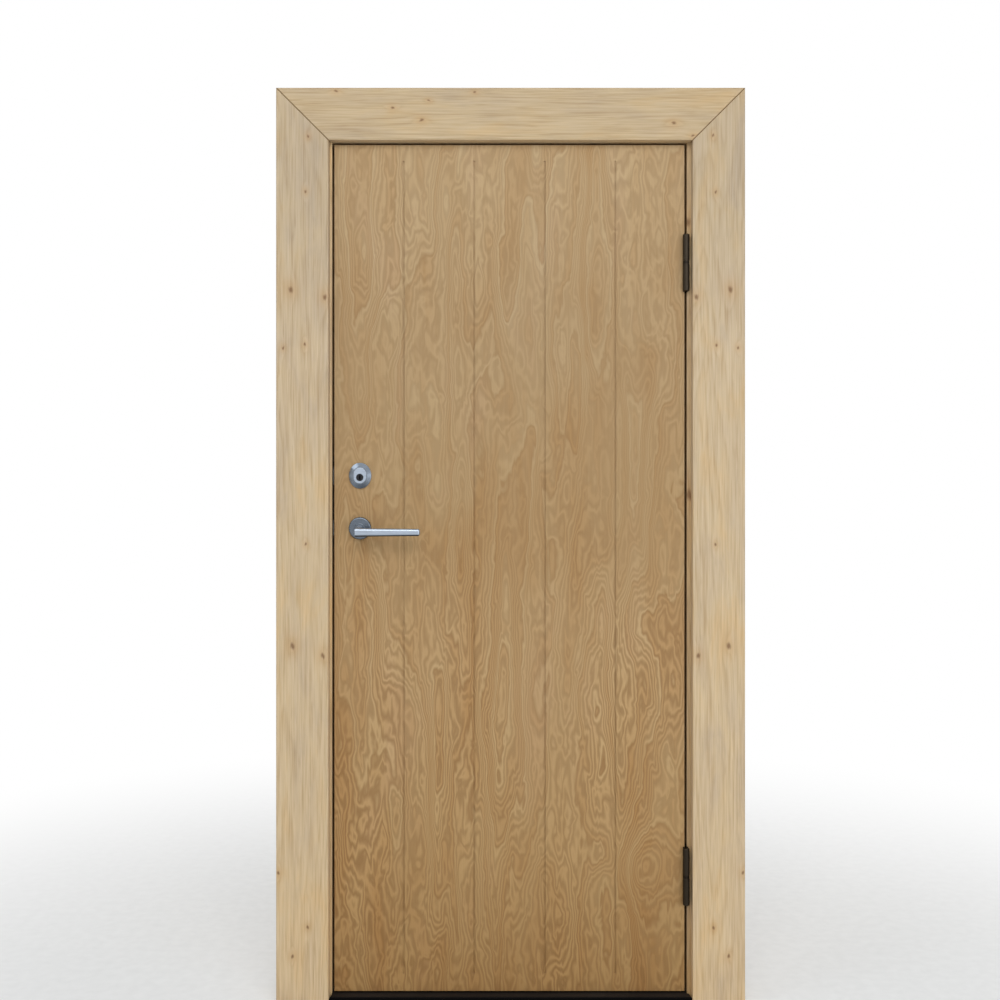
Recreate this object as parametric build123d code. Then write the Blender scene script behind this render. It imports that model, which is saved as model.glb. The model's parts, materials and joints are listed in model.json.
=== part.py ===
"""Outward-opening plywood storage door in a rebated pine frame, with mitred casings.

Millimetres. X runs to the right as seen from outside, Y into the building, Z up.
The origin is under the middle of the threshold, on the plane of the frame's front edges.
"""

import os

from build123d import *

# Leaf: two plywood skins on a timber framework
LEAF_WIDTH = 720.0
LEAF_HEIGHT = 1740.0
OUTER_SKIN = 9.0
INNER_SKIN = 6.0
FRAMEWORK_DEPTH = 25.0
LOCK_STILE_WIDTH = 95.0
HINGE_STILE_WIDTH = 45.0
TOP_RAIL_HEIGHT = 45.0
BOTTOM_RAIL_HEIGHT = 70.0
LOCK_EDGE_BEVEL = 2.2

# Grooves routed down the outer skin, which stop short of its ends
GROOVE_COUNT = 4
GROOVE_PITCH = 145.0
GROOVE_WIDTH = 4.0
GROOVE_DEPTH = 2.0
GROOVE_STOP_TOP = 32.0
GROOVE_STOP_BOTTOM = 36.0

# Frame: rebated jambs and head
JAMB_FRONT = 30.0
JAMB_THICKNESS = 45.0
JAMB_DEPTH = 92.0
LEAF_GAP = 5.0
STOP_GAP = 5.0
JAMB_EDGE_ROUND = 1.5

# Rubber seals pressed into a kerf in the stops
KERF_WIDTH = 3.0
KERF_DEPTH = 7.0
SEAL_BULB_WIDTH = 8.0
SEAL_BULB_ROUND = 2.0
SEAL_FREE_GAP = 0.5
SEAL_FIT = 0.1

# Threshold: hollow aluminium section with a nose outside and an upstand inside
SILL_FRONT_HEIGHT = 10.0
SILL_NOSE_HEIGHT = 8.0
SILL_NOSE_REACH = 15.0
SILL_NOSE_ROUND = 3.0
SILL_UPSTAND_HEIGHT = 25.0
SILL_WALL = 2.2
SILL_END_CHAMFER_X = 6.5
SILL_END_CHAMFER_Z = 5.0

# Casings: flat boards, mitred at the top corners
CASING_WIDTH = 107.0
CASING_THICKNESS = 22.0
CASING_MARGIN_LOCK = 9.4
CASING_MARGIN_HINGE = 13.9
CASING_MARGIN_TOP = 5.0
CASING_EDGE_ROUND = 2.0

# Frame screws through the stops
SCREW_HOLE_RADIUS = 4.0
SCREW_PLUG_RADIUS = 7.0
SCREW_PLUG_DEPTH = 12.0
SCREW_FROM_END = 255.0

# Lift-off hinges
HINGE_BELOW_LEAF_TOP = 243.0
HINGE_ABOVE_LEAF_BOTTOM = 238.0
KNUCKLE_RADIUS = 6.75
KNUCKLE_LENGTH = 54.0
BEARING_HEIGHT = 9.0
KNUCKLE_END_ROUND = 2.0
BEARING_RADIUS = 5.8
HINGE_PIN_RADIUS = 4.5
HINGE_PIN_CLEARANCE = 0.05
HINGE_AXIS_FRONT = 9.0
HINGE_PLATE_THICKNESS = 3.0
HINGE_PLATE_REACH = 32.0
HINGE_PLATE_ROUND = 6.0
HINGE_MORTISE_FIT = 0.3
BEARING_CLEARANCE = 0.3

# Lock: forend in the leaf's edge, strike plate in the jamb, cylinder above the handle
BACKSET = 53.0
HANDLE_ABOVE_LEAF_BOTTOM = 952.0
CYLINDER_ABOVE_HANDLE = 108.0
FOREND_WIDTH = 22.0
FOREND_LENGTH = 235.0
FOREND_THICKNESS = 3.0
LATCH_WIDTH = 13.0
LATCH_HEIGHT = 28.0
LATCH_DEPTH = 18.0
LATCH_SLANT = 6.0
BOLT_HEIGHT = 34.0
STRIKE_WIDTH = 24.0
STRIKE_LENGTH = 190.0
STRIKE_THICKNESS = 2.0
STRIKE_POCKET_DEPTH = 16.0
STRIKE_POCKET_MARGIN = 1.5
PLATE_FIT = 0.1

# Oval cylinder and its guard ring, with a thumb turn on the inside
CYLINDER_WIDTH = 26.0
CYLINDER_HEIGHT = 33.0
CYLINDER_PROUD = 1.5
CYLINDER_FIT = 0.15
CYLINDER_EDGE_ROUND = 1.0
RING_FLANK = 10.0
RING_RIM = 2.5
RING_HEIGHT = 7.5
RING_LIP = 1.2
PLUG_RADIUS = 7.5
PLUG_DROP = 3.5
PLUG_LENGTH = 30.0
PLUG_RECESS = 0.6
PLUG_FIT = 0.1
KEYWAY_WIDTH = 2.6
KEYWAY_HEIGHT = 9.0
KEYWAY_DEPTH = 20.0
TURN_RADIUS = 11.0
TURN_HEIGHT = 10.0
TURN_GRIP_WIDTH = 6.0
TURN_GRIP_LENGTH = 28.0
TURN_GRIP_HEIGHT = 18.0
TURN_EDGE_ROUND = 1.5

# Lever handles on round roses
ROSE_RADIUS = 23.0
ROSE_HEIGHT = 8.0
ROSE_EDGE_ROUND = 3.0
ROSE_COLLAR_RADIUS = 11.0
ROSE_COLLAR_HEIGHT = 3.0
ROSE_COLLAR_ROUND = 1.5
NECK_RADIUS = 7.0
NECK_STRAIGHT = 20.0
NECK_CLEARANCE = 0.1
LEVER_REACH = 57.0
LEVER_LENGTH = 131.0
LEVER_DROP = 6.0
LEVER_ROOT_HEIGHT = 17.0
LEVER_ROOT_THICKNESS = 13.0
LEVER_TIP_HEIGHT = 14.5
LEVER_TIP_THICKNESS = 10.0
LEVER_OVERHANG = 5.0
LEVER_EDGE_ROUND = 4.6
LEVER_TIP_ROUND = 4.0
SPINDLE_SIDE = 8.0
SPINDLE_FIT = 0.05
SPINDLE_SOCKET = 26.0
SPINDLE_HOLE_RADIUS = 10.0

# Places worked out from the sizes above
LEAF_DEPTH = OUTER_SKIN + FRAMEWORK_DEPTH + INNER_SKIN
LEAF_HALF = LEAF_WIDTH / 2
LEAF_BOTTOM = SILL_FRONT_HEIGHT + LEAF_GAP
LEAF_TOP = LEAF_BOTTOM + LEAF_HEIGHT
REBATE_X = LEAF_HALF + LEAF_GAP
REBATE_Y = LEAF_DEPTH + STOP_GAP
FRAME_HALF = REBATE_X + JAMB_FRONT
STOP_X = FRAME_HALF - JAMB_THICKNESS
REBATE_Z = LEAF_TOP + LEAF_GAP
FRAME_TOP = REBATE_Z + JAMB_FRONT
STOP_Z = FRAME_TOP - JAMB_THICKNESS
STOP_CENTRE_Y = (REBATE_Y + JAMB_DEPTH) / 2
KERF_INSET = (LEAF_HALF - STOP_X) / 2
FRAMEWORK_Y = OUTER_SKIN
INNER_SKIN_Y = OUTER_SKIN + FRAMEWORK_DEPTH
CASING_LOCK_X = -LEAF_HALF - CASING_MARGIN_LOCK
CASING_HINGE_X = LEAF_HALF + CASING_MARGIN_HINGE
CASING_Z = LEAF_TOP + CASING_MARGIN_TOP
HINGE_X = LEAF_HALF + LEAF_GAP / 2
HINGE_Y = -HINGE_AXIS_FRONT
HINGE_HEIGHTS = {
    "upper": LEAF_TOP - HINGE_BELOW_LEAF_TOP,
    "lower": LEAF_BOTTOM + HINGE_ABOVE_LEAF_BOTTOM,
}
SCREW_HEIGHTS = (SCREW_FROM_END, FRAME_TOP - SCREW_FROM_END)
SPINDLE_X = -LEAF_HALF + BACKSET
HANDLE_Z = LEAF_BOTTOM + HANDLE_ABOVE_LEAF_BOTTOM
CYLINDER_Z = HANDLE_Z + CYLINDER_ABOVE_HANDLE
LOCK_CENTRE_Y = LEAF_DEPTH / 2
LOCK_CENTRE_Z = HANDLE_Z + CYLINDER_ABOVE_HANDLE / 2
FOREND_FACE_X = -LEAF_HALF + LOCK_EDGE_BEVEL * (LOCK_CENTRE_Y + FOREND_WIDTH / 2) / LEAF_DEPTH
PARTS = "parts"


def block(x, y, z):
    """A box from (low, high) pairs along each axis."""
    spans = [high - low for low, high in (x, y, z)]
    centre = [(low + high) / 2 for low, high in (x, y, z)]
    return Pos(*centre) * Box(*spans)


def outline_face(*points):
    return make_face(Polyline(*points, close=True))


def ease(face, radius, *corners):
    """Rounds the corners of a flat face that lie nearest to these points."""
    return fillet([face.vertices().sort_by_distance(corner)[0] for corner in corners], radius)


def rod(radius, start, end):
    """A round bar between two points."""
    path = Line(start, end)
    return extrude(Plane(origin=start, z_dir=path % 0) * Circle(radius), path.length)


def facing_out(x, y, z):
    """A plane on the leaf that looks out of the building, with its X to the right."""
    return Plane(origin=(x, y, z), x_dir=(1, 0, 0), z_dir=(0, -1, 0))


def facing_in(x, y, z):
    """The same plane looking into the building, with its X still to the right."""
    return Plane(origin=(x, y, z), x_dir=(1, 0, 0), z_dir=(0, 1, 0))


# Frame


def rebated_section():
    """Section of the hinge jamb in X and Y: a rebate in front, the stop behind."""
    return outline_face(
        (REBATE_X, 0),
        (FRAME_HALF, 0),
        (FRAME_HALF, JAMB_DEPTH),
        (STOP_X, JAMB_DEPTH),
        (STOP_X, REBATE_Y),
        (REBATE_X, REBATE_Y),
    )


def right_jamb():
    """The rebated jamb on the hinge side, with its frame-screw holes but no mortises."""
    arrises = (REBATE_X, 0, 0), (STOP_X, REBATE_Y, 0), (STOP_X, JAMB_DEPTH, 0)
    section = ease(rebated_section(), JAMB_EDGE_ROUND, *arrises)
    section -= Pos(STOP_X + KERF_INSET, REBATE_Y + KERF_DEPTH / 2) * Rectangle(KERF_WIDTH, KERF_DEPTH)
    jamb = extrude(section, FRAME_TOP)
    for height in SCREW_HEIGHTS:
        inner = (STOP_X, STOP_CENTRE_Y, height)
        jamb -= rod(SCREW_HOLE_RADIUS, inner, (FRAME_HALF, STOP_CENTRE_Y, height))
        jamb -= rod(SCREW_PLUG_RADIUS, inner, (STOP_X + SCREW_PLUG_DEPTH, STOP_CENTRE_Y, height))
    return jamb


def hinge_jamb():
    jamb = right_jamb()
    for height in HINGE_HEIGHTS.values():
        jamb -= hinge_plate(REBATE_X, HINGE_PLATE_THICKNESS, height, HINGE_MORTISE_FIT)
    return jamb


def lock_jamb():
    return mirror(right_jamb(), Plane.YZ) - strike_blank(PLATE_FIT) - strike_pockets()


def head():
    """The head, of the same section, coped at both ends to fit between the jambs."""
    section = outline_face(
        (0, REBATE_Z),
        (0, FRAME_TOP),
        (JAMB_DEPTH, FRAME_TOP),
        (JAMB_DEPTH, STOP_Z),
        (REBATE_Y, STOP_Z),
        (REBATE_Y, REBATE_Z),
    )
    arrises = (0, REBATE_Z, 0), (REBATE_Y, STOP_Z, 0), (JAMB_DEPTH, STOP_Z, 0)
    section = ease(section, JAMB_EDGE_ROUND, *arrises)
    kerf = Pos(REBATE_Y + KERF_DEPTH / 2, STOP_Z + KERF_INSET) * Rectangle(KERF_DEPTH, KERF_WIDTH)
    bar = extrude(Plane.YZ.offset(-FRAME_HALF) * (section - kerf), FRAME_HALF * 2)
    jamb = extrude(rebated_section(), FRAME_TOP)
    return bar - jamb - mirror(jamb, Plane.YZ)


def seal_section():
    """Bulb and fin of the seal, with the stop's face on the X axis and the leaf above it."""
    bulb_height = STOP_GAP - SEAL_FREE_GAP
    bulb = Pos(0, bulb_height / 2) * RectangleRounded(SEAL_BULB_WIDTH, bulb_height, SEAL_BULB_ROUND)
    fin = Pos(0, -KERF_DEPTH / 2 + SEAL_FIT) * Rectangle(KERF_WIDTH - 2 * SEAL_FIT, KERF_DEPTH)
    return bulb + fin


def seal_side():
    """Seal of the hinge jamb, up to the seal of the head."""
    foot = (STOP_X + KERF_INSET, REBATE_Y, SILL_UPSTAND_HEIGHT)
    plane = Plane(origin=foot, x_dir=(-1, 0, 0), z_dir=(0, 0, 1))
    return extrude(plane * seal_section(), STOP_Z - SILL_UPSTAND_HEIGHT)


def seal_head():
    end = (-STOP_X, REBATE_Y, STOP_Z + KERF_INSET)
    plane = Plane(origin=end, x_dir=(0, 0, 1), z_dir=(1, 0, 0))
    return extrude(plane * seal_section(), 2 * STOP_X)


def threshold_outline(inset=0.0):
    """Side view of the threshold in Y and Z: nose, low front and upstand."""
    return [
        (-SILL_NOSE_REACH + inset, inset),
        (-SILL_NOSE_REACH + inset, SILL_NOSE_HEIGHT - inset),
        (0, SILL_FRONT_HEIGHT - inset),
        (REBATE_Y + inset, SILL_FRONT_HEIGHT - inset),
        (REBATE_Y + inset, SILL_UPSTAND_HEIGHT - inset),
        (JAMB_DEPTH - inset, SILL_UPSTAND_HEIGHT - inset),
        (JAMB_DEPTH - inset, inset),
    ]


def threshold():
    """The hollow section runs between the jambs, and its nose in front of them to the casings."""
    low, high = CASING_LOCK_X, CASING_HINGE_X
    nose = (-SILL_NOSE_REACH, SILL_NOSE_HEIGHT, 0)
    section = ease(outline_face(*threshold_outline()), SILL_NOSE_ROUND, nose)
    web = Pos(REBATE_Y + SILL_WALL / 2, SILL_UPSTAND_HEIGHT / 2) * Rectangle(SILL_WALL, SILL_UPSTAND_HEIGHT)
    section -= outline_face(*threshold_outline(SILL_WALL)) - web
    bar = extrude(Plane.YZ.offset(low) * section, high - low)
    jamb = extrude(rebated_section(), SILL_UPSTAND_HEIGHT)
    bar = bar - jamb - mirror(jamb, Plane.YZ)
    splay = outline_face(
        (high, SILL_FRONT_HEIGHT),
        (high - SILL_END_CHAMFER_X, SILL_FRONT_HEIGHT),
        (high, SILL_FRONT_HEIGHT - SILL_END_CHAMFER_Z),
    )
    hinge_end = extrude(Plane.XZ * splay, SILL_NOSE_REACH)
    lock_end = Pos(low + high, 0, 0) * mirror(hinge_end, Plane.YZ)
    return bar - hinge_end - lock_end


def casing_board(outline):
    """A flat board standing out from the wall, with its front arrises eased."""
    board = extrude(Plane.XZ * outline_face(*outline), CASING_THICKNESS)
    front = board.faces().sort_by(Axis.Y)[0]
    return fillet(front.edges(), CASING_EDGE_ROUND)


def casing_left():
    inner, outer = CASING_LOCK_X, CASING_LOCK_X - CASING_WIDTH
    return casing_board([(inner, 0), (inner, CASING_Z), (outer, CASING_Z + CASING_WIDTH), (outer, 0)])


def casing_right():
    inner, outer = CASING_HINGE_X, CASING_HINGE_X + CASING_WIDTH
    return casing_board([(inner, 0), (inner, CASING_Z), (outer, CASING_Z + CASING_WIDTH), (outer, 0)])


def casing_top():
    low, high = CASING_LOCK_X, CASING_HINGE_X
    top = CASING_Z + CASING_WIDTH
    return casing_board(
        [(low, CASING_Z), (high, CASING_Z), (high + CASING_WIDTH, top), (low - CASING_WIDTH, top)]
    )


# Leaf


def bevelled_edge():
    """What the bevel takes off the leaf's lock edge, so that its back corner swings clear."""
    wedge = outline_face(
        (-LEAF_HALF, 0),
        (-LEAF_HALF + LOCK_EDGE_BEVEL, LEAF_DEPTH),
        (-LEAF_HALF, LEAF_DEPTH),
    )
    return Pos(0, 0, LEAF_BOTTOM) * extrude(wedge, LEAF_HEIGHT)


def handle_hole():
    start = (SPINDLE_X, 0, HANDLE_Z)
    return rod(SPINDLE_HOLE_RADIUS, start, (SPINDLE_X, LEAF_DEPTH, HANDLE_Z))


def cylinder_outline(fit=0.0):
    """The oval section of the lock cylinder."""
    return SlotOverall(CYLINDER_HEIGHT + 2 * fit, CYLINDER_WIDTH + 2 * fit, rotation=90)


def cylinder_hole():
    plane = facing_in(SPINDLE_X, 0, CYLINDER_Z)
    return extrude(plane * cylinder_outline(CYLINDER_FIT), LEAF_DEPTH)


def lock_openings():
    return [handle_hole(), cylinder_hole(), forend_mortise(), bolt_pockets()]


def hinge_mortises():
    return [
        hinge_plate(LEAF_HALF, -HINGE_PLATE_THICKNESS, height, HINGE_MORTISE_FIT)
        for height in HINGE_HEIGHTS.values()
    ]


def grooves():
    """Round-ended grooves, evenly spaced across the outer skin."""
    bottom, top = LEAF_BOTTOM + GROOVE_STOP_BOTTOM, LEAF_TOP - GROOVE_STOP_TOP
    slot = SlotOverall(top - bottom, GROOVE_WIDTH, rotation=90)
    slots = Sketch() + [place * slot for place in GridLocations(GROOVE_PITCH, 1, GROOVE_COUNT, 1)]
    return extrude(facing_in(0, 0, (bottom + top) / 2) * slots, GROOVE_DEPTH)


def outer_skin():
    skin = block((-LEAF_HALF, LEAF_HALF), (0, OUTER_SKIN), (LEAF_BOTTOM, LEAF_TOP))
    return skin - grooves() - bevelled_edge() - hinge_mortises() - lock_openings()


def inner_skin():
    skin = block((-LEAF_HALF, LEAF_HALF), (INNER_SKIN_Y, LEAF_DEPTH), (LEAF_BOTTOM, LEAF_TOP))
    return skin - bevelled_edge() - hinge_mortises() - lock_openings()


def framework(x, z):
    return block(x, (FRAMEWORK_Y, INNER_SKIN_Y), z)


def lock_stile():
    stile = framework((-LEAF_HALF, -LEAF_HALF + LOCK_STILE_WIDTH), (LEAF_BOTTOM, LEAF_TOP))
    return stile - bevelled_edge() - lock_openings()


def hinge_stile():
    stile = framework((LEAF_HALF - HINGE_STILE_WIDTH, LEAF_HALF), (LEAF_BOTTOM, LEAF_TOP))
    return stile - hinge_mortises()


def rail_span():
    return (-LEAF_HALF + LOCK_STILE_WIDTH, LEAF_HALF - HINGE_STILE_WIDTH)


def top_rail():
    return framework(rail_span(), (LEAF_TOP - TOP_RAIL_HEIGHT, LEAF_TOP))


def bottom_rail():
    return framework(rail_span(), (LEAF_BOTTOM, LEAF_BOTTOM + BOTTOM_RAIL_HEIGHT))


# Hinges


def plate_heights(height):
    """Bottom and top of a hinge plate whose knuckles meet at this height."""
    half = KNUCKLE_LENGTH + BEARING_HEIGHT / 2
    return height - half, height + half


def hinge_plate(face_x, thickness, height, fit=0.0):
    """A plate let in from this face, rounded at its inner corners. Below zero it runs to the left."""
    low, high = plate_heights(height)
    reach = HINGE_PLATE_REACH + fit
    shape = outline_face((0, low - fit), (reach, low - fit), (reach, high + fit), (0, high + fit))
    shape = ease(shape, HINGE_PLATE_ROUND, (reach, low, 0), (reach, high, 0))
    depth = thickness + fit if thickness > 0 else thickness - fit
    return extrude(Plane.YZ.offset(face_x) * shape, depth)


def hinge_half(face_x, thickness, height, low, high, rounded_end):
    """A plate, the knuckle that stands on the hinge axis in front of it and the arm between."""
    barrel = rod(KNUCKLE_RADIUS, (HINGE_X, HINGE_Y, low), (HINGE_X, HINGE_Y, high))
    rim = barrel.edges().filter_by(GeomType.CIRCLE).sort_by(Axis.Z)[rounded_end]
    arm_x = sorted((face_x, face_x + thickness))
    arm = block(arm_x, (HINGE_Y, 0), (low + KNUCKLE_END_ROUND, high - KNUCKLE_END_ROUND))
    return hinge_plate(face_x, thickness, height) + arm + fillet(rim, KNUCKLE_END_ROUND)


def hinge_frame_half(height):
    """Lower knuckle with the bearing ring and the pin, on the plate in the jamb."""
    low, high = plate_heights(height)
    shoulder, seat = height - BEARING_HEIGHT / 2, height + BEARING_HEIGHT / 2
    lower = hinge_half(REBATE_X, HINGE_PLATE_THICKNESS, height, low, shoulder, 0)
    bearing = rod(BEARING_RADIUS, (HINGE_X, HINGE_Y, shoulder), (HINGE_X, HINGE_Y, seat))
    pin = rod(HINGE_PIN_RADIUS, (HINGE_X, HINGE_Y, seat), (HINGE_X, HINGE_Y, high - KNUCKLE_RADIUS))
    return lower + bearing + pin


def hinge_leaf_half(height):
    """Upper knuckle, bored for the pin, on the plate in the leaf's edge."""
    _, high = plate_heights(height)
    seat = height + BEARING_HEIGHT / 2 + BEARING_CLEARANCE
    bore_end = high - KNUCKLE_RADIUS + BEARING_CLEARANCE
    bore_radius = HINGE_PIN_RADIUS + HINGE_PIN_CLEARANCE
    bore = rod(bore_radius, (HINGE_X, HINGE_Y, seat), (HINGE_X, HINGE_Y, bore_end))
    return hinge_half(LEAF_HALF, -HINGE_PLATE_THICKNESS, height, seat, high, -1) - bore


# Lock


def edge_plate(x, width, length):
    """An upright plate with round ends across the leaf's edge, between two places along X."""
    start, end = x
    plane = Plane(origin=(start, LOCK_CENTRE_Y, LOCK_CENTRE_Z), x_dir=(0, 0, 1), z_dir=(1, 0, 0))
    return extrude(plane * SlotOverall(length, width), end - start)


def forend_mortise():
    """The recess for the forend, open to the leaf's edge."""
    x = (-LEAF_HALF, FOREND_FACE_X + FOREND_THICKNESS + PLATE_FIT)
    return edge_plate(x, FOREND_WIDTH + 2 * PLATE_FIT, FOREND_LENGTH + 2 * PLATE_FIT)


def bolt_boxes(fit=0.0):
    """The latch beside the handle and the dead bolt under the cylinder, drawn back."""
    y = (LOCK_CENTRE_Y - LATCH_WIDTH / 2 - fit, LOCK_CENTRE_Y + LATCH_WIDTH / 2 + fit)
    x = (FOREND_FACE_X, FOREND_FACE_X + LATCH_DEPTH + fit)
    heights = {"latch": (HANDLE_Z, LATCH_HEIGHT), "bolt": (CYLINDER_Z, BOLT_HEIGHT)}
    return {
        name: block(x, y, (centre - tall / 2 - fit, centre + tall / 2 + fit))
        for name, (centre, tall) in heights.items()
    }


def bolt_pockets():
    boxes = bolt_boxes(PLATE_FIT)
    return boxes["latch"] + boxes["bolt"]


def forend():
    x = (FOREND_FACE_X, FOREND_FACE_X + FOREND_THICKNESS)
    return edge_plate(x, FOREND_WIDTH, FOREND_LENGTH) - bolt_pockets()


def latch():
    """The spring latch, with the slant that lets the door push it back."""
    box = bolt_boxes()["latch"]
    nose = box.faces().sort_by(Axis.X)[0].edges().filter_by(Axis.Z).sort_by(Axis.Y)[0]
    return chamfer(nose, LATCH_SLANT)


def dead_bolt():
    return bolt_boxes()["bolt"]


def strike_blank(fit=0.0):
    x = (-REBATE_X - STRIKE_THICKNESS - fit, -REBATE_X)
    return edge_plate(x, STRIKE_WIDTH + 2 * fit, STRIKE_LENGTH + 2 * fit)


def strike_pockets():
    """Pockets through the strike plate into the jamb, which take the latch and the bolt."""
    x = (-REBATE_X - STRIKE_POCKET_DEPTH, -REBATE_X)
    across = LATCH_WIDTH / 2 + STRIKE_POCKET_MARGIN
    y = (LOCK_CENTRE_Y - across, LOCK_CENTRE_Y + across)
    latch = LATCH_HEIGHT / 2 + STRIKE_POCKET_MARGIN
    bolt = BOLT_HEIGHT / 2 + STRIKE_POCKET_MARGIN
    return [
        block(x, y, (HANDLE_Z - latch, HANDLE_Z + latch)),
        block(x, y, (CYLINDER_Z - bolt, CYLINDER_Z + bolt)),
    ]


def strike_plate():
    return strike_blank() - strike_pockets()


def ring(plane):
    """A guard ring: a low rim whose flank closes in on the cylinder's oval."""
    foot = Ellipse(CYLINDER_WIDTH / 2 + RING_FLANK, CYLINDER_HEIGHT / 2 + RING_FLANK)
    flank = loft([Pos(0, 0, RING_RIM) * foot, Pos(0, 0, RING_HEIGHT) * cylinder_outline(RING_LIP)])
    body = extrude(foot, RING_RIM) + flank
    return plane * (body - extrude(cylinder_outline(CYLINDER_FIT), RING_HEIGHT))


def outer_ring():
    return ring(facing_out(SPINDLE_X, 0, CYLINDER_Z))


def inner_ring():
    return ring(facing_in(SPINDLE_X, LEAF_DEPTH, CYLINDER_Z))


def plug_plane():
    """Where the plug's axis meets the cylinder's key face, looking in."""
    return facing_in(SPINDLE_X, -RING_HEIGHT - CYLINDER_PROUD, CYLINDER_Z - PLUG_DROP)


def cylinder():
    """The oval lock cylinder, from its key face outside to the thumb turn, bored for its plug."""
    front = -RING_HEIGHT - CYLINDER_PROUD
    back = LEAF_DEPTH + RING_HEIGHT - CYLINDER_PROUD
    body = extrude(facing_in(SPINDLE_X, front, CYLINDER_Z) * cylinder_outline(), back - front)
    rim = body.faces().sort_by(Axis.Y)[0].edges()
    body = fillet(rim, CYLINDER_EDGE_ROUND)
    return body - extrude(plug_plane() * Circle(PLUG_RADIUS + PLUG_FIT), PLUG_RECESS + PLUG_LENGTH)


def plug():
    """The round plug in the cylinder, slotted for the key."""
    face = plug_plane().offset(PLUG_RECESS)
    body = extrude(face * Circle(PLUG_RADIUS), PLUG_LENGTH)
    return body - extrude(face * Rectangle(KEYWAY_WIDTH, KEYWAY_HEIGHT), KEYWAY_DEPTH)


def thumb_turn():
    """The knob inside: a round boss with a flat grip standing on it."""
    base = LEAF_DEPTH + RING_HEIGHT - CYLINDER_PROUD
    boss = extrude(facing_in(SPINDLE_X, base, CYLINDER_Z) * Circle(TURN_RADIUS), TURN_HEIGHT)
    top = facing_in(SPINDLE_X, base + TURN_HEIGHT, CYLINDER_Z)
    grip = extrude(top * SlotOverall(TURN_GRIP_LENGTH, TURN_GRIP_WIDTH, rotation=90), TURN_GRIP_HEIGHT)
    grip = fillet(grip.faces().sort_by(Axis.Y)[-1].edges(), TURN_EDGE_ROUND)
    return boss + grip


# Handles


def rose(plane):
    """A round rose with a raised collar, bored for the lever's neck."""
    section = outline_face(
        (NECK_RADIUS + NECK_CLEARANCE, 0),
        (ROSE_RADIUS, 0),
        (ROSE_RADIUS, ROSE_HEIGHT),
        (ROSE_COLLAR_RADIUS, ROSE_HEIGHT),
        (ROSE_COLLAR_RADIUS, ROSE_HEIGHT + ROSE_COLLAR_HEIGHT),
        (NECK_RADIUS + NECK_CLEARANCE, ROSE_HEIGHT + ROSE_COLLAR_HEIGHT),
    )
    section = ease(section, ROSE_EDGE_ROUND, (ROSE_RADIUS, ROSE_HEIGHT, 0))
    section = ease(section, ROSE_COLLAR_ROUND, (ROSE_COLLAR_RADIUS, ROSE_HEIGHT + ROSE_COLLAR_HEIGHT, 0))
    return plane * revolve(Plane.XZ * section, Axis.Z)


def outer_rose():
    return rose(facing_out(SPINDLE_X, 0, HANDLE_Z))


def inner_rose():
    return rose(facing_in(SPINDLE_X, LEAF_DEPTH, HANDLE_Z))


def lever(drop):
    """A lever on its own plane: X along the grip, Z out of the leaf, the grip set off in Y.

    The round neck turns square as it meets the grip, which tapers to a rounded tip.
    """
    middle = LEVER_REACH - LEVER_ROOT_THICKNESS / 2
    corner = Pos(0, drop, LEVER_REACH - LEVER_EDGE_ROUND)
    corner *= RectangleRounded(2 * LEVER_OVERHANG, LEVER_ROOT_HEIGHT, LEVER_EDGE_ROUND)
    neck = extrude(Circle(NECK_RADIUS), NECK_STRAIGHT)
    neck += loft([Pos(0, 0, NECK_STRAIGHT) * Circle(NECK_RADIUS), corner])
    across = Plane(origin=(-LEVER_OVERHANG, drop, middle), x_dir=(0, 1, 0), z_dir=(1, 0, 0))
    root = across * RectangleRounded(LEVER_ROOT_HEIGHT, LEVER_ROOT_THICKNESS, LEVER_EDGE_ROUND)
    tip = RectangleRounded(LEVER_TIP_HEIGHT, LEVER_TIP_THICKNESS, LEVER_EDGE_ROUND)
    grip = loft([root, across.offset(LEVER_LENGTH) * tip])
    grip = fillet(grip.faces().sort_by(Axis.X)[-1].edges(), LEVER_TIP_ROUND)
    side = SPINDLE_SIDE + 2 * SPINDLE_FIT
    return neck + grip - extrude(Rectangle(side, side), SPINDLE_SOCKET)


def outer_lever():
    """facing_out has its Y up the leaf."""
    return facing_out(SPINDLE_X, 0, HANDLE_Z) * lever(-LEVER_DROP)


def inner_lever():
    """facing_in has its Y down the leaf."""
    return facing_in(SPINDLE_X, LEAF_DEPTH, HANDLE_Z) * lever(LEVER_DROP)


def spindle():
    """The square bar that joins the two levers through the leaf."""
    half = SPINDLE_SIDE / 2
    reach = SPINDLE_SOCKET - SPINDLE_FIT
    return block(
        (SPINDLE_X - half, SPINDLE_X + half),
        (-reach, LEAF_DEPTH + reach),
        (HANDLE_Z - half, HANDLE_Z + half),
    )


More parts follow.
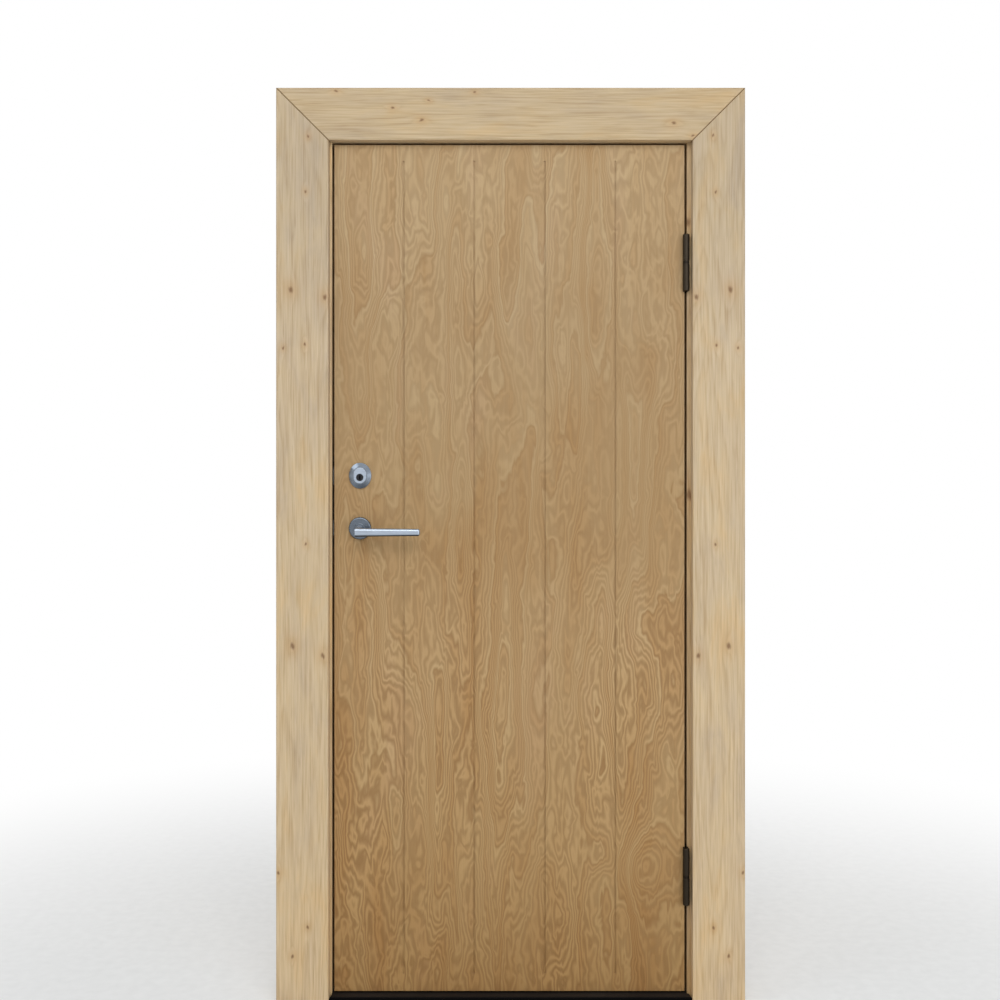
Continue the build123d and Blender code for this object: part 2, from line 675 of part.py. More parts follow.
def pieces():
    """Every piece of the door by its node's name."""
    side_seal = seal_side()
    made = {
        "hinge_jamb": hinge_jamb(),
        "lock_jamb": lock_jamb(),
        "frame_head": head(),
        "seal_hinge_side": side_seal,
        "seal_lock_side": mirror(side_seal, Plane.YZ),
        "seal_head": seal_head(),
        "threshold": threshold(),
        "casing_left": casing_left(),
        "casing_right": casing_right(),
        "casing_top": casing_top(),
        "strike_plate": strike_plate(),
        "leaf_outer_skin": outer_skin(),
        "leaf_inner_skin": inner_skin(),
        "leaf_lock_stile": lock_stile(),
        "leaf_hinge_stile": hinge_stile(),
        "leaf_top_rail": top_rail(),
        "leaf_bottom_rail": bottom_rail(),
        "lock_forend": forend(),
        "lock_latch": latch(),
        "lock_dead_bolt": dead_bolt(),
        "cylinder_ring_outer": outer_ring(),
        "cylinder_ring_inner": inner_ring(),
        "lock_cylinder": cylinder(),
        "cylinder_plug": plug(),
        "thumb_turn": thumb_turn(),
        "rose_outer": outer_rose(),
        "rose_inner": inner_rose(),
        "lever_outer": outer_lever(),
        "lever_inner": inner_lever(),
        "lever_spindle": spindle(),
    }
    for name, height in HINGE_HEIGHTS.items():
        made[f"hinge_{name}_frame_half"] = hinge_frame_half(height)
        made[f"hinge_{name}_leaf_half"] = hinge_leaf_half(height)
    return made


def main():
    os.makedirs(PARTS, exist_ok=True)
    for name, shape in pieces().items():
        export_step(shape, os.path.join(PARTS, f"{name}.step"))


main()
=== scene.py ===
import json
import math

import bmesh
import bpy
from mathutils import Matrix, Vector


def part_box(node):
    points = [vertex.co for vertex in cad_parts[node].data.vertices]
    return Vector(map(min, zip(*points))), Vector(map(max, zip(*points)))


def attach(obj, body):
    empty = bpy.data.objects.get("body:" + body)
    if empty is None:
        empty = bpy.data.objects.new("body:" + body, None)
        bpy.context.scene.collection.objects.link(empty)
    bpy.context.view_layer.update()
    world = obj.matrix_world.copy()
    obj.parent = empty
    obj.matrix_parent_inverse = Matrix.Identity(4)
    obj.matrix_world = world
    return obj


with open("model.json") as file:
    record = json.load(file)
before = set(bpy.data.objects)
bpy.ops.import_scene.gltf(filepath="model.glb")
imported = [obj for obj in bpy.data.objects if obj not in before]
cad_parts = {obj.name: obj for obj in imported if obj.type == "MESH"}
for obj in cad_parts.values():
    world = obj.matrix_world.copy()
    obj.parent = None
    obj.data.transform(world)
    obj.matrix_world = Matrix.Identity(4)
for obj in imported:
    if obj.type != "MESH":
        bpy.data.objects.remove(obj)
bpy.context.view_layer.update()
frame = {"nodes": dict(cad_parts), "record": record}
nodes = frame["nodes"]
scene = bpy.context.scene
scene.view_settings.view_transform = "Standard"

# Lengths are in metres where nothing else is said. The outside faces -Y, and Y is 0 on the leaf's outer face
PHOTO_SCALE = 0.0020575  # one pixel of the photograph, on the leaf's outer face
CENTRE_X = -0.0194  # what is at the middle of the photograph
CENTRE_Z = 1.025
VIEW_WIDTH = 1000 * PHOTO_SCALE
CAMERA_HEIGHT = 1.10
CAMERA_DISTANCE = 2.6
SENSOR_WIDTH = 36.0  # millimetres
WHITE = (1.0, 1.0, 1.0, 1)


def linear(*rgb):
    """Linear colour with alpha from 0 to 255 display values."""
    values = [c / 255 for c in rgb]
    return [c / 12.92 if c <= 0.04045 else ((c + 0.055) / 1.055) ** 2.4 for c in values] + [1.0]


def scaled(colour, share):
    """A darker or lighter colour, with its alpha at 1."""
    return [c * share for c in colour[:3]] + [1]


def grey(value):
    return (value, value, value, 1)


class Shader:
    """A material and short ways to add and link its nodes."""

    def __init__(self, name):
        self.material = bpy.data.materials.new(name)
        self.material.use_nodes = True
        self.tree = self.material.node_tree
        self.surface = self.tree.nodes["Principled BSDF"]

    def node(self, kind, **settings):
        made = self.tree.nodes.new(kind)
        for key, value in settings.items():
            setattr(made, key, value)
        return made

    def put(self, socket, value):
        if isinstance(value, bpy.types.NodeSocket):
            self.tree.links.new(value, socket)
        else:
            socket.default_value = value

    def math(self, operation, a, b=0.0):
        made = self.node("ShaderNodeMath", operation=operation)
        self.put(made.inputs[0], a)
        self.put(made.inputs[1], b)
        return made.outputs[0]

    def add(self, first, *rest):
        for value in rest:
            first = self.math("ADD", first, value)
        return first

    def times(self, a, b):
        return self.math("MULTIPLY", a, b)

    def mix(self, factor, a, b, blend="MIX", clamp=True):
        """From colour a to colour b. Without clamp, the factor may go past 1."""
        made = self.node("ShaderNodeMix", data_type="RGBA", blend_type=blend, clamp_factor=clamp)
        self.put(made.inputs[0], factor)
        self.put(made.inputs[6], a)
        self.put(made.inputs[7], b)
        return made.outputs[2]

    def tint(self, colour, by):
        return self.mix(1.0, colour, by, "MULTIPLY")

    def range(self, value, low, high, to_low=0.0, to_high=1.0, smooth=False):
        """The value's place between low and high, brought to another range and kept in it."""
        made = self.node("ShaderNodeMapRange", interpolation_type="SMOOTHSTEP" if smooth else "LINEAR")
        for socket, given in zip(made.inputs[:5], (value, low, high, to_low, to_high)):
            self.put(socket, given)
        return made.outputs[0]

    def place(self, scale, shift=(0, 0, 0)):
        """The object's own coordinates in metres, scaled and shifted."""
        coordinates = self.node("ShaderNodeTexCoord").outputs["Object"]
        made = self.node("ShaderNodeMapping")
        self.put(made.inputs["Vector"], coordinates)
        made.inputs["Location"].default_value = shift
        made.inputs["Scale"].default_value = scale
        return made.outputs[0]

    def noise(self, vector, detail=2.0, rough=0.5, distortion=0.0):
        made = self.node("ShaderNodeTexNoise")
        self.put(made.inputs["Vector"], vector)
        made.inputs["Scale"].default_value = 1.0
        made.inputs["Detail"].default_value = detail
        made.inputs["Roughness"].default_value = rough
        made.inputs["Distortion"].default_value = distortion
        return made.outputs["Fac"]

    def random(self, value):
        """A number from 0 to 1 that is the same wherever the value is the same."""
        made = self.node("ShaderNodeTexWhiteNoise", noise_dimensions="1D")
        self.put(made.inputs["W"], value)
        return made.outputs["Value"]

    def axis(self, letter, kind="Object"):
        """One coordinate of the place, or of the Normal."""
        made = self.node("ShaderNodeSeparateXYZ")
        self.put(made.inputs[0], self.node("ShaderNodeTexCoord").outputs[kind])
        return made.outputs[letter]

    def mound(self, x, z, x0, z0, wide, high):
        """1 at a place on the front, falling smoothly to 0 around it."""
        across = self.times(self.math("SUBTRACT", x, x0), 1 / wide)
        along = self.times(self.math("SUBTRACT", z, z0), 1 / high)
        spread = self.add(self.times(across, across), self.times(along, along))
        return self.math("EXPONENT", self.times(spread, -1.0))

    def ramp(self, value, *stops):
        """A colour from stops of position and colour."""
        made = self.node("ShaderNodeValToRGB")
        self.put(made.inputs[0], value)
        elements = made.color_ramp.elements
        while len(elements) < len(stops):
            elements.new(0.5)
        for element, (position, colour) in zip(elements, stops):
            element.position = position
            element.color = colour
        return made.outputs[0]

    def bump(self, height, strength, distance):
        made = self.node("ShaderNodeBump")
        made.inputs["Strength"].default_value = strength
        made.inputs["Distance"].default_value = distance
        self.put(made.inputs["Height"], height)
        self.put(self.surface.inputs["Normal"], made.outputs[0])

    def set(self, **values):
        """Sets the surface's inputs, each named with _ for a space, and gives the material."""
        for key, value in values.items():
            self.put(self.surface.inputs[key.replace("_", " ")], value)
        return self.material


WOOD_TOP = 1.75  # height at which the woods' tones by height end
PLY = 0.003  # a pale and a dark ply together
# Places on the veneer where the figure closes into islands: x, z, half width, half height, rings
MOUNDS = (
    (0.289, 0.768, 0.060, 0.065, 5.0),
    (0.276, 0.265, 0.065, 0.060, 5.0),
    (0.190, 0.295, 0.028, 0.045, -6.0),
    (0.170, 1.560, 0.030, 0.300, -9.0),
    (-0.143, 0.450, 0.024, 0.220, 6.0),
    (-0.010, 0.620, 0.045, 0.400, 7.0),
    (0.255, 0.560, 0.045, 0.160, -6.0),
    (-0.300, 1.480, 0.030, 0.150, 6.0),
)


def plywood(name):
    """Rotary-cut veneer: level bands of a stretched height field, with plies on the edges."""
    s = Shader(name)
    x, y, z = s.axis("X"), s.axis("Y"), s.axis("Z")
    broad = s.noise(s.place((3.9, 1.0, 0.55), (0.3, 0, 0.2)), 1.0, 0.5, 0.1)
    wild = s.noise(s.place((14.0, 1.0, 2.6), (1.7, 0, 4.1)), 1.0, 0.5, 0.3)
    small = s.noise(s.place((40.0, 1.0, 14.0), (4.7, 0, 1.1)), 2.0, 0.5, 0.5)
    field = s.add(s.times(broad, 44.0), s.times(wild, 19.0), s.times(small, 4.2))
    for x0, z0, wide, high, rings in MOUNDS:
        field = s.add(field, s.times(s.mound(x, z, x0, z0, wide, high), rings))
    index = s.math("FLOOR", field)
    level = s.math("FRACT", field)
    # Each band's own tone, eased into the next one
    here, after = s.random(index), s.random(s.math("ADD", index, 1.0))
    ease = s.range(level, 0.70, 1.0, smooth=True)
    tone = s.add(s.times(here, s.math("SUBTRACT", 1.0, ease)), s.times(after, ease))
    # Pale line in a band, with a darker side
    line = s.ramp(
        level,
        (0.0, grey(0.12)),
        (0.16, grey(0.35)),
        (0.42, grey(0.95)),
        (0.56, grey(0.92)),
        (0.80, grey(0.30)),
        (1.0, grey(0.12)),
    )
    patch = s.noise(s.place((8.0, 1.0, 2.0), (2.2, 0, 7.7)), 3.0, 0.55, 0.6)
    base = s.ramp(
        patch,
        (0.31, linear(169, 134, 86)),
        (0.43, linear(177, 148, 106)),
        (0.54, linear(181, 155, 115)),
        (0.67, linear(184, 157, 121)),
    )
    banded = s.mix(tone, linear(166, 130, 85), linear(189, 166, 129))
    colour = s.mix(0.44, base, banded)
    uneven = s.range(s.noise(s.place((6.0, 1.0, 1.8), (5.1, 0, 0)), 2.0), 0.36, 0.64, 0.5, 1.0)
    by_height = s.ramp(
        s.range(z, 0.0, WOOD_TOP),
        (0.05, grey(1.0)),
        (0.38, grey(0.86)),
        (0.62, grey(0.42)),
        (0.90, grey(0.54)),
    )
    strength = s.times(uneven, s.times(by_height, 1.8))
    lit = s.tint(colour, (1.16, 1.16, 1.17, 1))
    shaded = s.tint(colour, (0.85, 0.80, 0.73, 1))
    colour = s.mix(strength, colour, s.mix(line, shaded, lit), clamp=False)
    fine = s.noise(s.place((480.0, 480.0, 7.0)), 2.0, 0.6)
    darker = s.tint(colour, (0.90, 0.88, 0.84, 1))
    colour = s.mix(s.range(fine, 0.32, 0.68, 0.0, 0.5), colour, darker)
    # Deeper and warmer towards the foot
    foot = s.ramp(
        s.range(z, 0.0, WOOD_TOP),
        (0.0, (0.71, 0.59, 0.38, 1)),
        (0.16, (0.88, 0.79, 0.62, 1)),
        (0.40, (0.93, 0.87, 0.77, 1)),
        (0.56, (0.89, 0.84, 0.75, 1)),
        (0.80, (0.90, 0.88, 0.85, 1)),
        (1.0, (0.97, 0.97, 0.97, 1)),
    )
    colour = s.tint(colour, foot)
    # Plies on the edges
    ply = s.math("FRACT", s.times(y, 1 / PLY))
    plies = s.mix(s.range(ply, 0.42, 0.58), linear(132, 97, 60), linear(172, 142, 101))
    facing = s.math("ABSOLUTE", s.axis("Y", "Normal"))
    colour = s.mix(s.math("LESS_THAN", facing, 0.7), colour, plies)
    s.bump(fine, 0.2, 0.0005)
    return s.set(Base_Color=colour, Roughness=s.range(fine, 0.3, 0.7, 0.62, 0.76))


# The casings' inner edges, from which the mitres go up and out
CASING_LEFT = -0.3694
CASING_RIGHT = 0.3739
CASING_HEAD = 1.760
MITRE_BOTTOM = 1.7595
CASING_MIDDLE = (CASING_LEFT + CASING_RIGHT) / 2


def softwood(name, along, tones, by_height=(), knots=(), scattered=0.0, mitred=False, mirror=None):
    """Planed softwood: fine grain along one axis, grey and yellow patches, and small knots.

    The knots have places on the front. With mirror, they are on both sides of that X, as on two boards
    cut from one. A share of scattered adds knots all over, and mitred darkens the seams at the mitres.
    """
    s = Shader(name)
    x, z = s.axis("X"), s.axis("Z")
    across = x if mirror is None else s.math("ABSOLUTE", s.math("SUBTRACT", x, mirror))

    def stretch(wide, length, shift):
        scale = [wide, wide, wide]
        scale["XYZ".index(along)] = length
        return s.place(scale, shift)

    broad = s.noise(stretch(9.0, 0.55, (3.1, 1.3, 0.7)), 1.0, 0.5, 0.1)
    wave = s.noise(stretch(42.0, 3.2, (0.4, 7.3, 2.7)), 2.0)
    field = s.add(s.times(broad, 30.0), s.times(wave, 2.2))
    for x0, z0, size in knots:
        wide, high = (size * 2.2, size * 6) if along == "Z" else (size * 6, size * 2.2)
        field = s.add(field, s.times(s.mound(across, z, x0, z0, wide, high), 0.9))
    level = s.math("FRACT", field)
    rings = s.ramp(level, (0.0, grey(0.25)), (0.45, grey(0.45)), (0.82, grey(1.0)), (1.0, grey(0.25)))
    fine = s.noise(stretch(420.0, 11.0, (0, 0, 0)), 2.0, 0.6)
    value = s.add(s.times(rings, 0.30), s.times(s.range(fine, 0.3, 0.7), 0.50))
    pale, mid, deep = tones
    colour = s.ramp(value, (0.10, pale), (0.42, mid), (0.84, deep))
    fleck = s.noise(stretch(150.0, 11.0, (6.1, 3.3, 9.2)), 2.0, 0.6)
    colour = s.mix(s.range(fleck, 0.58, 0.72, 0.0, 0.55), colour, deep)
    patch = s.noise(stretch(16.0, 5.0, (8.3, 2.9, 5.5)), 4.0, 0.6, 0.4)
    patches = s.ramp(
        patch,
        (0.33, (0.90, 0.905, 0.95, 1)),
        (0.44, (0.99, 0.99, 1.0, 1)),
        (0.54, (1.03, 1.025, 1.0, 1)),
        (0.68, (1.07, 1.0, 0.87, 1)),
    )
    colour = s.tint(colour, patches)
    if by_height:
        colour = s.tint(colour, s.ramp(s.range(z, 0.0, WOOD_TOP), *by_height))
    # Knots fade away from the front, and the grain pulls their edges along
    near_front = s.range(s.axis("Y"), 0.001, 0.012, 1.0, 0.0)
    ragged = s.times(s.math("SUBTRACT", fleck, 0.5), 0.016)
    knot_x, knot_z = (across, s.add(z, ragged)) if along == "Z" else (s.add(across, ragged), z)
    for x0, z0, size in knots:
        wide, high = (size, size * 1.4) if along == "Z" else (size * 1.4, size)
        heart = s.times(s.mound(knot_x, knot_z, x0, z0, wide, high), near_front)
        stain = s.math("POWER", heart, 1 / 11.5)
        colour = s.mix(s.times(stain, 0.30), colour, linear(186, 138, 78))
        colour = s.mix(s.range(heart, 0.2, 0.85, 0.0, 0.78), colour, linear(114, 79, 47))
    if scattered:
        cells = s.node("ShaderNodeTexVoronoi", feature="F1")
        s.put(cells.inputs["Vector"], stretch(7.5, 3.2, (0.37, 0.21, 0.55)))
        cells.inputs["Scale"].default_value = 1.0
        knot = s.range(cells.outputs["Distance"], 0.028, 0.060, 1.0, 0.0, smooth=True)
        colour = s.mix(s.times(knot, scattered), colour, linear(112, 74, 42))
    if mitred:
        left = s.math("ABSOLUTE", s.add(x, z, -CASING_LEFT - CASING_HEAD))
        right = s.math("ABSOLUTE", s.math("SUBTRACT", x, s.math("ADD", z, CASING_RIGHT - CASING_HEAD)))
        seam = s.range(s.math("MINIMUM", left, right), 0.0008, 0.0026, 1.0, 0.0, smooth=True)
        above = s.math("GREATER_THAN", z, MITRE_BOTTOM)
        dark = s.tint(colour, (0.60, 0.53, 0.45, 1))
        colour = s.mix(s.times(seam, above), colour, dark)
    s.bump(fine, 0.15, 0.0004)
    return s.set(Base_Color=colour, Roughness=s.range(fine, 0.3, 0.7, 0.60, 0.74))


def metal(name, colour, roughness, metallic, brushed, spread, painted_shade_below=0.0, seams=()):
    """Metal whose roughness and tone vary along a fine brushed grain.

    What faces down can be painted darker, to the given share of the colour, as painted shade. Each seam is a
    height with an oily dark line at the front, as at a hinge's bearing.
    """
    s = Shader(name)
    grain = s.noise(s.place(brushed), 3.0, 0.6)
    blotch = s.noise(s.place((60, 60, 60)), 3.0)
    tone = s.mix(s.range(grain, 0.3, 0.7), scaled(colour, 0.86), colour)
    tone = s.mix(s.range(blotch, 0.4, 0.7, 0.0, 0.25), tone, scaled(colour, 0.8))
    # Painted shade: what faces down is darkened
    if painted_shade_below:
        up = s.axis("Z", "Normal")
        tone = s.mix(s.range(up, -0.15, -0.75, smooth=True), tone, scaled(colour, painted_shade_below))
    for height in seams:
        off = s.math("ABSOLUTE", s.math("SUBTRACT", s.axis("Z"), height))
        at_front = s.range(s.axis("Y"), -0.003, -0.001, 1.0, 0.0)
        oil = s.times(s.range(off, 0.0012, 0.0030, 0.85, 0.0, smooth=True), at_front)
        tone = s.mix(oil, tone, scaled(colour, 0.2))
    s.bump(grain, 0.08, 0.0002)
    uneven = s.range(grain, 0.3, 0.7, roughness - spread, roughness + spread)
    return s.set(Base_Color=tone, Metallic=metallic, Roughness=uneven)


NOSE = -0.0145, -0.0115  # Y between which the threshold's front goes over into its top


def dull(name, colour, roughness, grain, dusty, gloss, front=None):
    """Powder coat or rubber with a fine uneven surface and dust.

    With front, the threshold's front has that colour, as painted shade.
    """
    s = Shader(name)
    s.surface.inputs["Specular IOR Level"].default_value = gloss
    speck = s.noise(s.place((grain, grain, grain)), 4.0, 0.6)
    dust = s.noise(s.place((9, 9, 30)), 3.0)
    dusted = [min(1, c * 1.9 + 0.004) for c in colour[:3]] + [1]
    tone = s.mix(s.range(dust, 0.4, 0.75, 0.0, dusty), colour, dusted)
    # Painted shade: the front under the nose is painted near black
    if front:
        tone = s.mix(s.range(s.axis("Y"), *NOSE, 1.0, 0.0), tone, front)
    s.bump(speck, 0.2, 0.0003)
    return s.set(Base_Color=tone, Roughness=s.range(speck, 0.3, 0.7, roughness - 0.08, roughness + 0.08))


# Wood tones from pale to deep, and what they are multiplied by at shares of WOOD_TOP
SPRUCE = linear(204, 184, 153), linear(195, 174, 142), linear(175, 149, 113)
PINE = linear(205, 181, 143), linear(194, 168, 129), linear(171, 142, 102)
# Paler pine for the lock jamb is painted light: it lifts the jamb where the casing shades it
PINE_PAINTED_LIGHT = linear(224, 199, 158), linear(212, 185, 143), linear(187, 157, 114)
PINE_BY_HEIGHT = (0.0, (0.80, 0.75, 0.68, 1)), (0.97, (1, 1, 1, 1))
SPRUCE_BY_HEIGHT = (
    (0.0, (1.17, 1.14, 1.08, 1)),
    (0.45, (1.07, 1.06, 1.04, 1)),
    (0.76, (1.02, 1.02, 1.03, 1)),
    (0.93, (0.91, 0.915, 0.93, 1)),
)
SPRUCE_TOP = (0.0, (0.935, 0.92, 0.88, 1)), (1.0, (0.935, 0.92, 0.88, 1))
# Knots on the casings and on the hinge jamb: x, z, radius. The side casings' x is from CASING_MIDDLE
SIDE_KNOTS = (
    (0.4130, 1.7690, 0.0026),
    (0.4185, 1.6540, 0.0026),
    (0.4485, 1.4550, 0.0050),
    (0.3790, 1.4400, 0.0044),
    (0.4200, 1.3420, 0.0026),
    (0.4640, 1.3360, 0.0026),
    (0.4180, 0.9340, 0.0026),
    (0.4450, 0.7270, 0.0050),
    (0.3830, 0.7080, 0.0044),
    (0.4740, 0.2650, 0.0030),
    (0.4140, 0.1530, 0.0030),
    (0.4450, 0.0950, 0.0032),
)
TOP_KNOTS = (
    (-0.3550, 1.8600, 0.0028),
    (-0.2390, 1.8260, 0.0028),
    (-0.1800, 1.8010, 0.0034),
    (-0.1640, 1.8410, 0.0020),
    (-0.0700, 1.8580, 0.0024),
    (0.3350, 1.7950, 0.0036),
    (0.3740, 1.7690, 0.0026),
)
JAMB_KNOTS = ((0.3655, 1.5970, 0.0075), (0.3700, 1.0350, 0.0080))
HINGE_HEIGHTS = 1.512, 0.253  # of the bearing faces
# Grain of the metals, as noise scales along X, Y and Z
COATED = (260, 260, 170)
BRUSHED_LEVEL = (60, 60, 700)
BRUSHED_UPRIGHT = (900, 900, 40)
TUMBLED = (700, 700, 700)
looks = {
    "plywood": plywood("plywood"),
    "frame_pine": softwood("frame_pine", "Z", PINE, PINE_BY_HEIGHT, JAMB_KNOTS, scattered=0.7),
    "frame_pine_across": softwood("frame_pine_across", "X", PINE, scattered=0.7),
    "frame_pine_painted_light": softwood("frame_pine_painted_light", "Z", PINE_PAINTED_LIGHT, PINE_BY_HEIGHT, scattered=0.7),
    "casing_spruce": softwood(
        "casing_spruce", "Z", SPRUCE, SPRUCE_BY_HEIGHT, SIDE_KNOTS, mitred=True, mirror=CASING_MIDDLE
    ),
    "casing_spruce_across": softwood("casing_spruce_across", "X", SPRUCE, SPRUCE_TOP, TOP_KNOTS, mitred=True),
    # The threshold's front gets near black painted shade
    "threshold_black": dull("threshold_black", linear(42, 36, 32), 0.55, 900, 0.4, 0.06, linear(1, 1, 1)),
    # The seal's light brown is painted light: it lifts the dark gaps round the leaf where the seal sits
    "seal_rubber": dull("seal_rubber", linear(112, 84, 54), 0.7, 600, 0.3, 0.2),
    "hinge_dark": metal("hinge_dark", linear(50, 42, 31), 0.40, 0.75, COATED, 0.14, seams=HINGE_HEIGHTS),
    # Painted shade on what faces down, on this steel and on the ring's
    "satin_steel": metal(
        "satin_steel", linear(168, 179, 193), 0.36, 1.0, BRUSHED_LEVEL, 0.05, painted_shade_below=0.10
    ),
    # The next two are darker copies of the same steel: painted shade on the cylinder ring, and a painted dark
    # reflection on the roses
    "ring_steel_painted_shade": metal(
        "ring_steel_painted_shade", linear(132, 141, 152), 0.22, 1.0, BRUSHED_LEVEL, 0.04, painted_shade_below=0.45
    ),
    "rose_steel_painted_reflection": metal("rose_steel_painted_reflection", linear(106, 114, 124), 0.28, 1.0, BRUSHED_LEVEL, 0.04),
    "plug_dark": metal("plug_dark", linear(46, 46, 48), 0.4, 0.9, TUMBLED, 0.08),
    "lock_steel": metal("lock_steel", linear(170, 168, 164), 0.4, 1.0, BRUSHED_UPRIGHT, 0.06),
}
# Nodes whose look isn't the one named after their material slot
OWN_LOOK = {
    "cylinder_ring_outer": "ring_steel_painted_shade",
    "cylinder_ring_inner": "ring_steel_painted_shade",
    "rose_outer": "rose_steel_painted_reflection",
    "rose_inner": "rose_steel_painted_reflection",
    "frame_head": "frame_pine_across",
    # Paler pine on the lock jamb: painted light against the casing's shade
    "lock_jamb": "frame_pine_painted_light",
    "casing_top": "casing_spruce_across",
    "leaf_top_rail": "frame_pine_across",
    "leaf_bottom_rail": "frame_pine_across",
}
for entry in frame["record"]["subparts"]:
    name = entry["node"]
    node = nodes[name]
    node.data.materials.clear()
    node.data.materials.append(looks[OWN_LOOK.get(name, entry["material_slot"])])


TURN_STEPS = 32
ANGLES = [2 * math.pi * step / TURN_STEPS for step in range(TURN_STEPS)]


def turned(name, rings, place, normal, body, look):
    """A closed piece of rings about its axis, from the front's middle to the back.

    Each ring has its radii, one for each of ANGLES, and its height.
    """
    mesh = bpy.data.meshes.new(name)
    bm = bmesh.new()
    rows = []
    for radii, height in rings:
        points = [(r * math.cos(a), r * math.sin(a), height) for r, a in zip(radii, ANGLES)]
        rows.append([bm.verts.new(point) for point in points])
    front = bm.verts.new((0, 0, rings[0][1]))
    for i in range(TURN_STEPS):
        j = (i + 1) % TURN_STEPS
        bm.faces.new((front, rows[0][i], rows[0][j]))
        for inner, outer in zip(rows, rows[1:]):
            bm.faces.new((inner[i], outer[i], outer[j], inner[j]))
    bm.faces.new(list(reversed(rows[-1])))
    turn = Vector(normal).to_track_quat("Z", "Y").to_matrix().to_4x4()
    bm.transform(Matrix.Translation(place) @ turn)
    bm.to_mesh(mesh)
    bm.free()
    piece = bpy.data.objects.new(name, mesh)
    scene.collection.objects.link(piece)
    mesh.materials.append(looks[look])
    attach(piece, body)


# Shares of the radius with their heights: the screw's cross recess, its head, and the cover cap
RECESS = (0.6, 0.00005), (1.0, 0.0006)
HEAD = (0.66, 0.00058), (0.84, 0.0004), (0.96, 0.00015), (1.0, -0.0002)
CAP = (
    (0.15, 0.0012),
    (0.35, 0.0011),
    (0.62, 0.0009),
    (0.70, 0.0005),
    (0.76, 0.0007),
    (0.92, 0.0004),
    (1.0, -0.0001),
    (0.97, -0.0045),
)


def screw(name, place, normal, radius, body):
    """A raised countersunk screw with a cross recess."""
    cross = [0.20 + 0.36 * abs(math.cos(2 * a)) ** 1.5 for a in ANGLES]
    recess = [([radius * share * c for c in cross], height) for share, height in RECESS]
    head = [([radius * share] * TURN_STEPS, height) for share, height in HEAD]
    turned(name, recess + head, place, normal, body, "lock_steel")


def cover_cap(name, place, normal, radius):
    """A domed cap with a turned ring, pressed into the counterbore over a frame screw."""
    rings = [([radius * share] * TURN_STEPS, height) for share, height in CAP]
    turned(name, rings, place, normal, "frame", "frame_pine")


JAMB_FACE = 0.350  # of the stop that the frame screws go through, on either side
CAP_RADIUS = 0.0068
CAP_DEPTH = 0.0685  # Y of the caps
CAP_HEIGHTS = 0.255, 1.535
for side, jamb in ((1, "hinge_jamb"), (-1, "lock_jamb")):
    for index, height in enumerate(CAP_HEIGHTS):
        place = (side * JAMB_FACE, CAP_DEPTH, height)
        cover_cap(f"cover_cap_{jamb}_{index}", place, (-side, 0, 0), CAP_RADIUS)

# The halves of a hinge with the X of the plate's face and the way it faces
HINGE_HALVES = ("frame_half", "frame", 0.365, -1), ("leaf_half", "leaf", 0.360, 1)
HINGE_SCREWS = (0.14, 0.021), (0.5, 0.012), (0.86, 0.021)  # share of the half's height, Y
HINGE_SCREW_RADIUS = 0.0042
for level in ("upper", "lower"):
    for half, body, face, side in HINGE_HALVES:
        low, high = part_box(f"hinge_{level}_{half}")
        for index, (share, depth) in enumerate(HINGE_SCREWS):
            place = (face, depth, low[2] + (high[2] - low[2]) * share)
            screw(f"screw_{level}_{half}_{index}", place, (side, 0, 0), HINGE_SCREW_RADIUS, body)

PLATE_SCREW_RADIUS = 0.0038
PLATE_SCREW_DEPTH = 0.020  # Y of the screws
PLATE_SCREW_INSET = 0.014  # from the plate's ends
for plate, body, side in (("lock_forend", "leaf", -1), ("strike_plate", "frame", 1)):
    low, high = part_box(plate)
    face = low[0] if side < 0 else high[0]
    for index, height in enumerate((low[2] + PLATE_SCREW_INSET, high[2] - PLATE_SCREW_INSET)):
        place = (face, PLATE_SCREW_DEPTH, height)
        screw(f"screw_{plate}_{index}", place, (side, 0, 0), PLATE_SCREW_RADIUS, body)

# Stage: a pale floor that fades to white away from the object, and a white world behind it
FLOOR_REACH = 30.0
FLOOR_HEIGHT = -0.0005
FADE_FROM, FADE_TO = 0.7, 2.4
WORLD_STRENGTH = 0.40


def seen_directly(tree):
    """1 for rays from the camera, a mirror or glass, and 0 for light."""
    path = tree.nodes.new("ShaderNodeLightPath")
    total = path.outputs["Is Camera Ray"]
    for kind in ("Is Glossy Ray", "Is Transmission Ray"):
        most = tree.nodes.new("ShaderNodeMath")
        most.operation = "MAXIMUM"
        tree.links.new(total, most.inputs[0])
        tree.links.new(path.outputs[kind], most.inputs[1])
        total = most.outputs[0]
    return total


floor = bpy.data.meshes.new("floor")
corners = [(x * FLOOR_REACH, y * FLOOR_REACH, FLOOR_HEIGHT) for x, y in ((-1, -1), (1, -1), (1, 1), (-1, 1))]
floor.from_pydata(corners, [], [(0, 1, 2, 3)])
ground = bpy.data.objects.new("floor", floor)
scene.collection.objects.link(ground)
pale = Shader("pale_floor")
speckle = pale.noise(pale.place((40, 40, 40)), 3.0)
speckled = pale.ramp(speckle, (0.3, (0.80, 0.80, 0.79, 1)), (0.7, (0.84, 0.84, 0.83, 1)))
pale.set(Base_Color=speckled, Roughness=0.9)
away = pale.node("ShaderNodeVectorMath", operation="LENGTH")
pale.put(away.inputs[0], pale.node("ShaderNodeTexCoord").outputs["Object"])
faded = pale.range(away.outputs["Value"], FADE_FROM, FADE_TO, smooth=True)
fade = pale.times(faded, seen_directly(pale.tree))
glow = pale.node("ShaderNodeEmission")
glow.inputs["Color"].default_value = WHITE
blend = pale.node("ShaderNodeMixShader")
pale.put(blend.inputs[0], fade)
pale.put(blend.inputs[1], pale.surface.outputs[0])
pale.put(blend.inputs[2], glow.outputs[0])
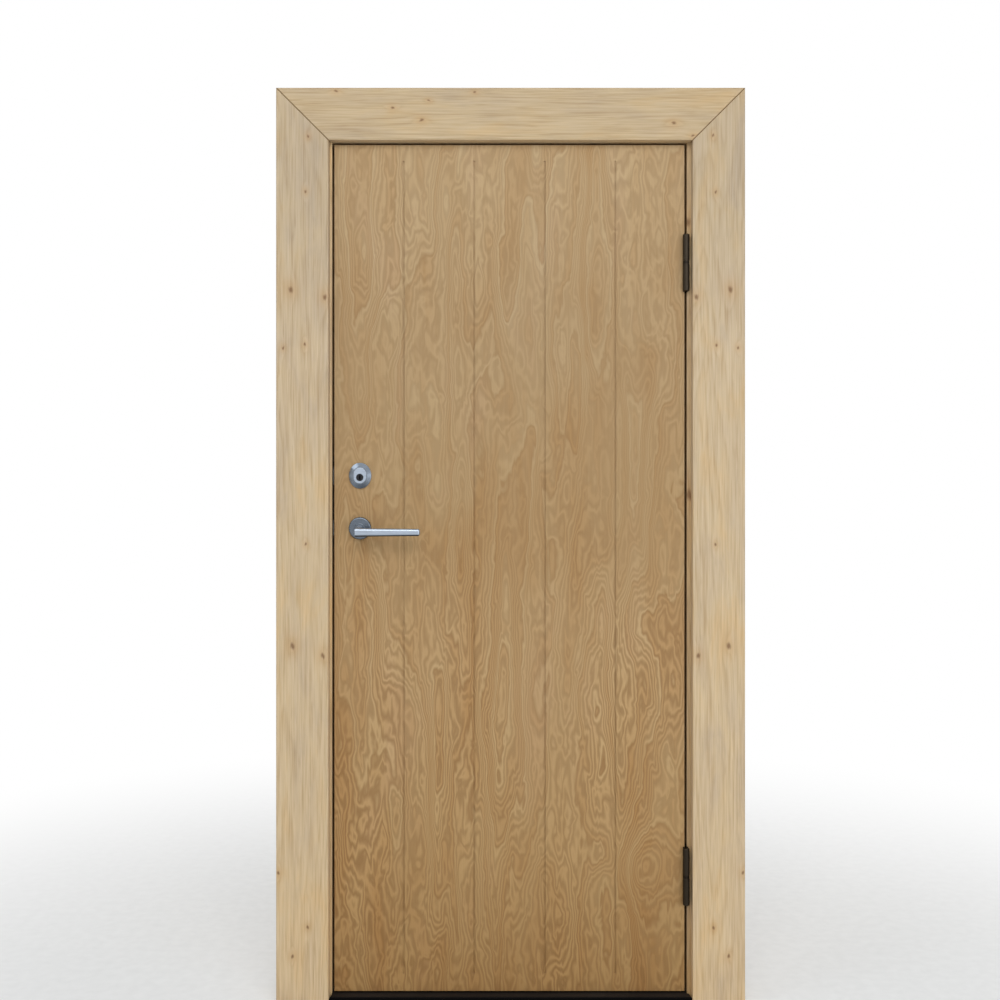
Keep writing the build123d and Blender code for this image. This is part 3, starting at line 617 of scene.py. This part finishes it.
pale.put(pale.tree.nodes["Material Output"].inputs[0], blend.outputs[0])
floor.materials.append(pale.material)

world = bpy.data.worlds.new("studio")
scene.world = world
world.use_nodes = True
tree = world.node_tree
backdrop = tree.nodes["Background"]
backdrop.inputs["Color"].default_value = (0.94, 0.97, 1.0, 1)
backdrop.inputs["Strength"].default_value = WORLD_STRENGTH
seen = tree.nodes.new("ShaderNodeBackground")
seen.inputs["Color"].default_value = WHITE
shown = tree.nodes.new("ShaderNodeMixShader")
tree.links.new(seen_directly(tree), shown.inputs[0])
tree.links.new(backdrop.outputs[0], shown.inputs[1])
tree.links.new(seen.outputs[0], shown.inputs[2])
tree.links.new(shown.outputs[0], tree.nodes["World Output"].inputs[0])


def lamp(name, place, target, size, power, colour=(1, 1, 1)):
    data = bpy.data.lights.new(name, "AREA")
    data.shape = "RECTANGLE"
    data.size, data.size_y = size
    data.energy = power
    data.color = colour
    light = bpy.data.objects.new(name, data)
    light.location = place
    light.rotation_euler = (Vector(target) - Vector(place)).to_track_quat("-Z", "Y").to_euler()
    scene.collection.objects.link(light)


lamp("key", (0.1, -4.2, 3.5), (0, 0, 0.7), (3.4, 2.4), 96, (1.0, 0.98, 0.95))
lamp("fill", (2.6, -3.6, 1.1), (0, 0, 0.5), (2.0, 2.0), 32, (0.95, 0.97, 1.0))
lamp("back", (0.5, 3.2, 3.0), (0, 0.1, 1.0), (2.5, 2.0), 80)
lamp("glint", (-1.9, -1.2, 2.9), (-0.3, 0, 1.0), (1.3, 1.3), 9, (0.92, 0.96, 1.0))

camera_data = bpy.data.cameras.new("camera")
camera = bpy.data.objects.new("camera", camera_data)
scene.collection.objects.link(camera)
camera.location = (CENTRE_X, -CAMERA_DISTANCE, CAMERA_HEIGHT)
camera.rotation_euler = (math.radians(90), 0, 0)
camera_data.sensor_width = SENSOR_WIDTH
camera_data.lens = SENSOR_WIDTH * CAMERA_DISTANCE / VIEW_WIDTH
camera_data.shift_y = (CENTRE_Z - CAMERA_HEIGHT) / VIEW_WIDTH
scene.camera = camera
